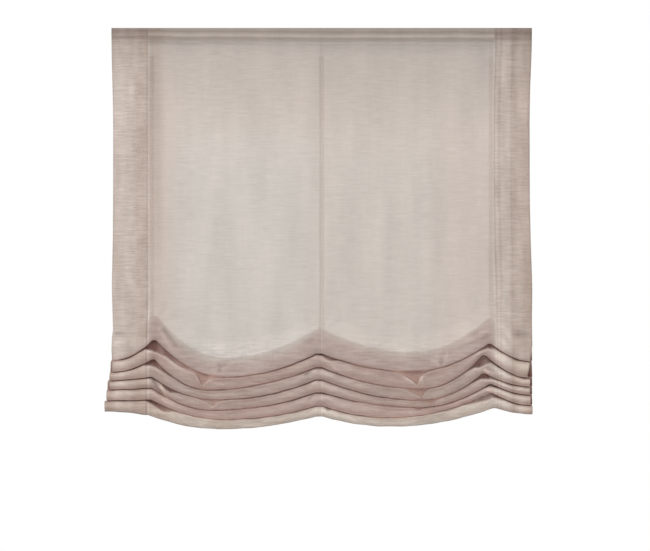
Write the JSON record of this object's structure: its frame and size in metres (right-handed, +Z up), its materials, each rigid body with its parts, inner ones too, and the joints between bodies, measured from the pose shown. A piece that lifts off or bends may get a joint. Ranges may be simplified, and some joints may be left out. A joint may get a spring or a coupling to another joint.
{
  "type": "soft-fold roman blind",
  "caption": "Sheer relaxed roman blind, partly raised in soft folds, on an aluminium head rail with cord spools, a side drive and wall brackets.",
  "frame": {"origin": "on the wall face, midway between the two brackets' screw holes", "axes": "+X along the rail to the drive end, +Y into the wall, +Z up; the cloth faces -Y"},
  "size_m": [1, 0.0697, 0.951],
  "materials": {
    "voile": "sheer linen-look voile with a soft sheen",
    "tape": "woven, semi-clear",
    "strip": "hook and loop",
    "cord": "braided",
    "rail": "white powder coat",
    "white_plastic": "satin moulding",
    "steel": "zinc plated"
  },
  "bodies": {
    "head": {"head_rail": "rail", "hook_strip": "strip", "loop_strip": "strip", "blind_cloth": "voile", "tape_left": "tape", "tape_centre": "tape", "tape_right": "tape", "lift_cord_left": "cord", "lift_cord_centre": "cord", "lift_cord_right": "cord", "end_cap": "white_plastic", "spool_cradle_left": "white_plastic", "spool_cradle_centre": "white_plastic", "spool_cradle_right": "white_plastic", "drive_housing": "white_plastic", "drive_cover": "white_plastic", "cover_screws": "steel", "bracket_left": "steel", "bracket_right": "steel"},
    "drive": {"drive_shaft": "steel", "shaft_bush": "white_plastic", "cord_spool_left": "white_plastic", "cord_spool_centre": "white_plastic", "cord_spool_right": "white_plastic", "cord_winding_left": "cord", "cord_winding_centre": "cord", "cord_winding_right": "cord", "chain_wheel": "white_plastic", "wrap_spring": "steel"},
    "lower_edge": {"cord_toggle_left": "white_plastic", "cord_toggle_centre": "white_plastic", "cord_toggle_right": "white_plastic"},
    "lever_left": {"bracket_lever_left": "steel"},
    "lever_right": {"bracket_lever_right": "steel"}
  },
  "joints": [
    {"name": "drive_turn", "type": "hinge", "parent": "head", "child": "drive", "pos_m": [0, -0.0205, -0.0035], "axis": [-1, 0, 0], "range_deg": [0, 2895]},
    {"name": "lift", "type": "slide", "parent": "head", "child": "lower_edge", "axis": [0, 0, 1], "range_m": [0, 0.44], "deforming": ["blind_cloth", "tape_left", "tape_centre", "tape_right", "lift_cord_left", "lift_cord_centre", "lift_cord_right"]},
    {"name": "lever_left_turn", "type": "hinge", "parent": "head", "child": "lever_left", "pos_m": [-0.3, -0.02, 0.0143], "axis": [0, 0, -1], "range_deg": [0, 90]},
    {"name": "lever_right_turn", "type": "hinge", "parent": "head", "child": "lever_right", "pos_m": [0.3, -0.02, 0.0143], "axis": [0, 0, -1], "range_deg": [0, 90]}
  ],
  "couplings": [
    {"joint": "lift", "follows": "drive_turn", "m_per_rad": 0.0087}
  ]
}
